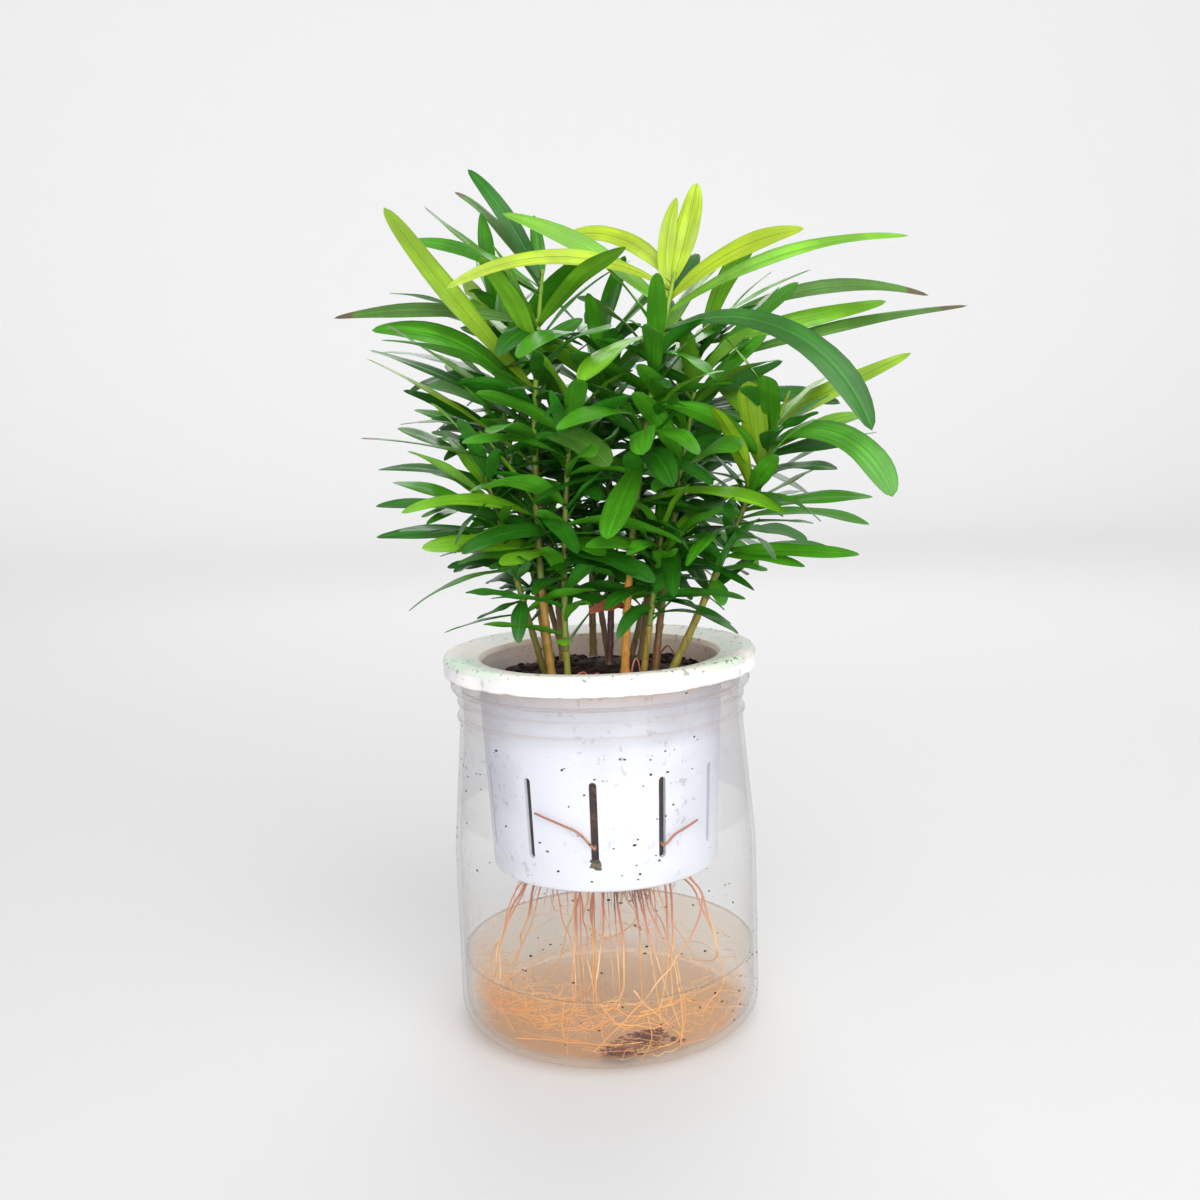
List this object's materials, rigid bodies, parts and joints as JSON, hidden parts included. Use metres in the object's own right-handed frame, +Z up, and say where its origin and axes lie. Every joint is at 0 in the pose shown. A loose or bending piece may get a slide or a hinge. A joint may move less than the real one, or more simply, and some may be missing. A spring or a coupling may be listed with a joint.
{
  "type": "podocarpus seedling clump in a water jar planter",
  "caption": "Clump of podocarpus seedlings with strap leaves in a white slotted pot, hung in a clear jar of water with roots.",
  "frame": {"origin": "centre of the jar's flat underside, on the surface it stands on", "axes": "+Z up; -Y towards the front of the clump, +X to the right of it"},
  "size_m": [0.2062, 0.149, 0.2776],
  "materials": {
    "clear_plastic": "clear, glossy, faintly smudged",
    "white_plastic": "satin moulded white, with a faint green tint and specks on the flange",
    "potting_soil": "moist, crumbly, matt",
    "water": "clear, slightly brown",
    "root": "matt, wet below the water line",
    "stem": "satin bark, orange-brown below and green above",
    "foliage": "leathery, semi-gloss, with a midrib"
  },
  "bodies": {
    "root": {"jar": "clear_plastic", "net_pot": "white_plastic", "soil": "potting_soil", "water": "water", "roots_left": "root", "roots_front": "root", "roots_right": "root", "roots_back": "root", "root_slot_front": "root", "root_slot_right": "root", "stem_center": "stem", "foliage_center": "foliage", "stem_left": "stem", "foliage_left": "foliage", "stem_right": "stem", "foliage_right": "foliage", "stem_back_right": "stem", "foliage_back_right": "foliage", "stem_back_left": "stem", "foliage_back_left": "foliage", "stem_left_front": "stem", "foliage_left_front": "foliage", "stem_left_low": "stem", "foliage_left_low": "foliage", "stem_left_inner": "stem", "foliage_left_inner": "foliage", "stem_right_front": "stem", "foliage_right_front": "foliage", "stem_right_inner": "stem", "foliage_right_inner": "foliage", "stem_middle": "stem", "foliage_middle": "foliage", "stem_middle_low": "stem", "foliage_middle_low": "foliage", "stem_back": "stem", "foliage_back": "foliage", "stem_back_right_low": "stem", "foliage_back_right_low": "foliage", "stem_back_left_low": "stem", "foliage_back_left_low": "foliage"}
  },
  "joints": []
}
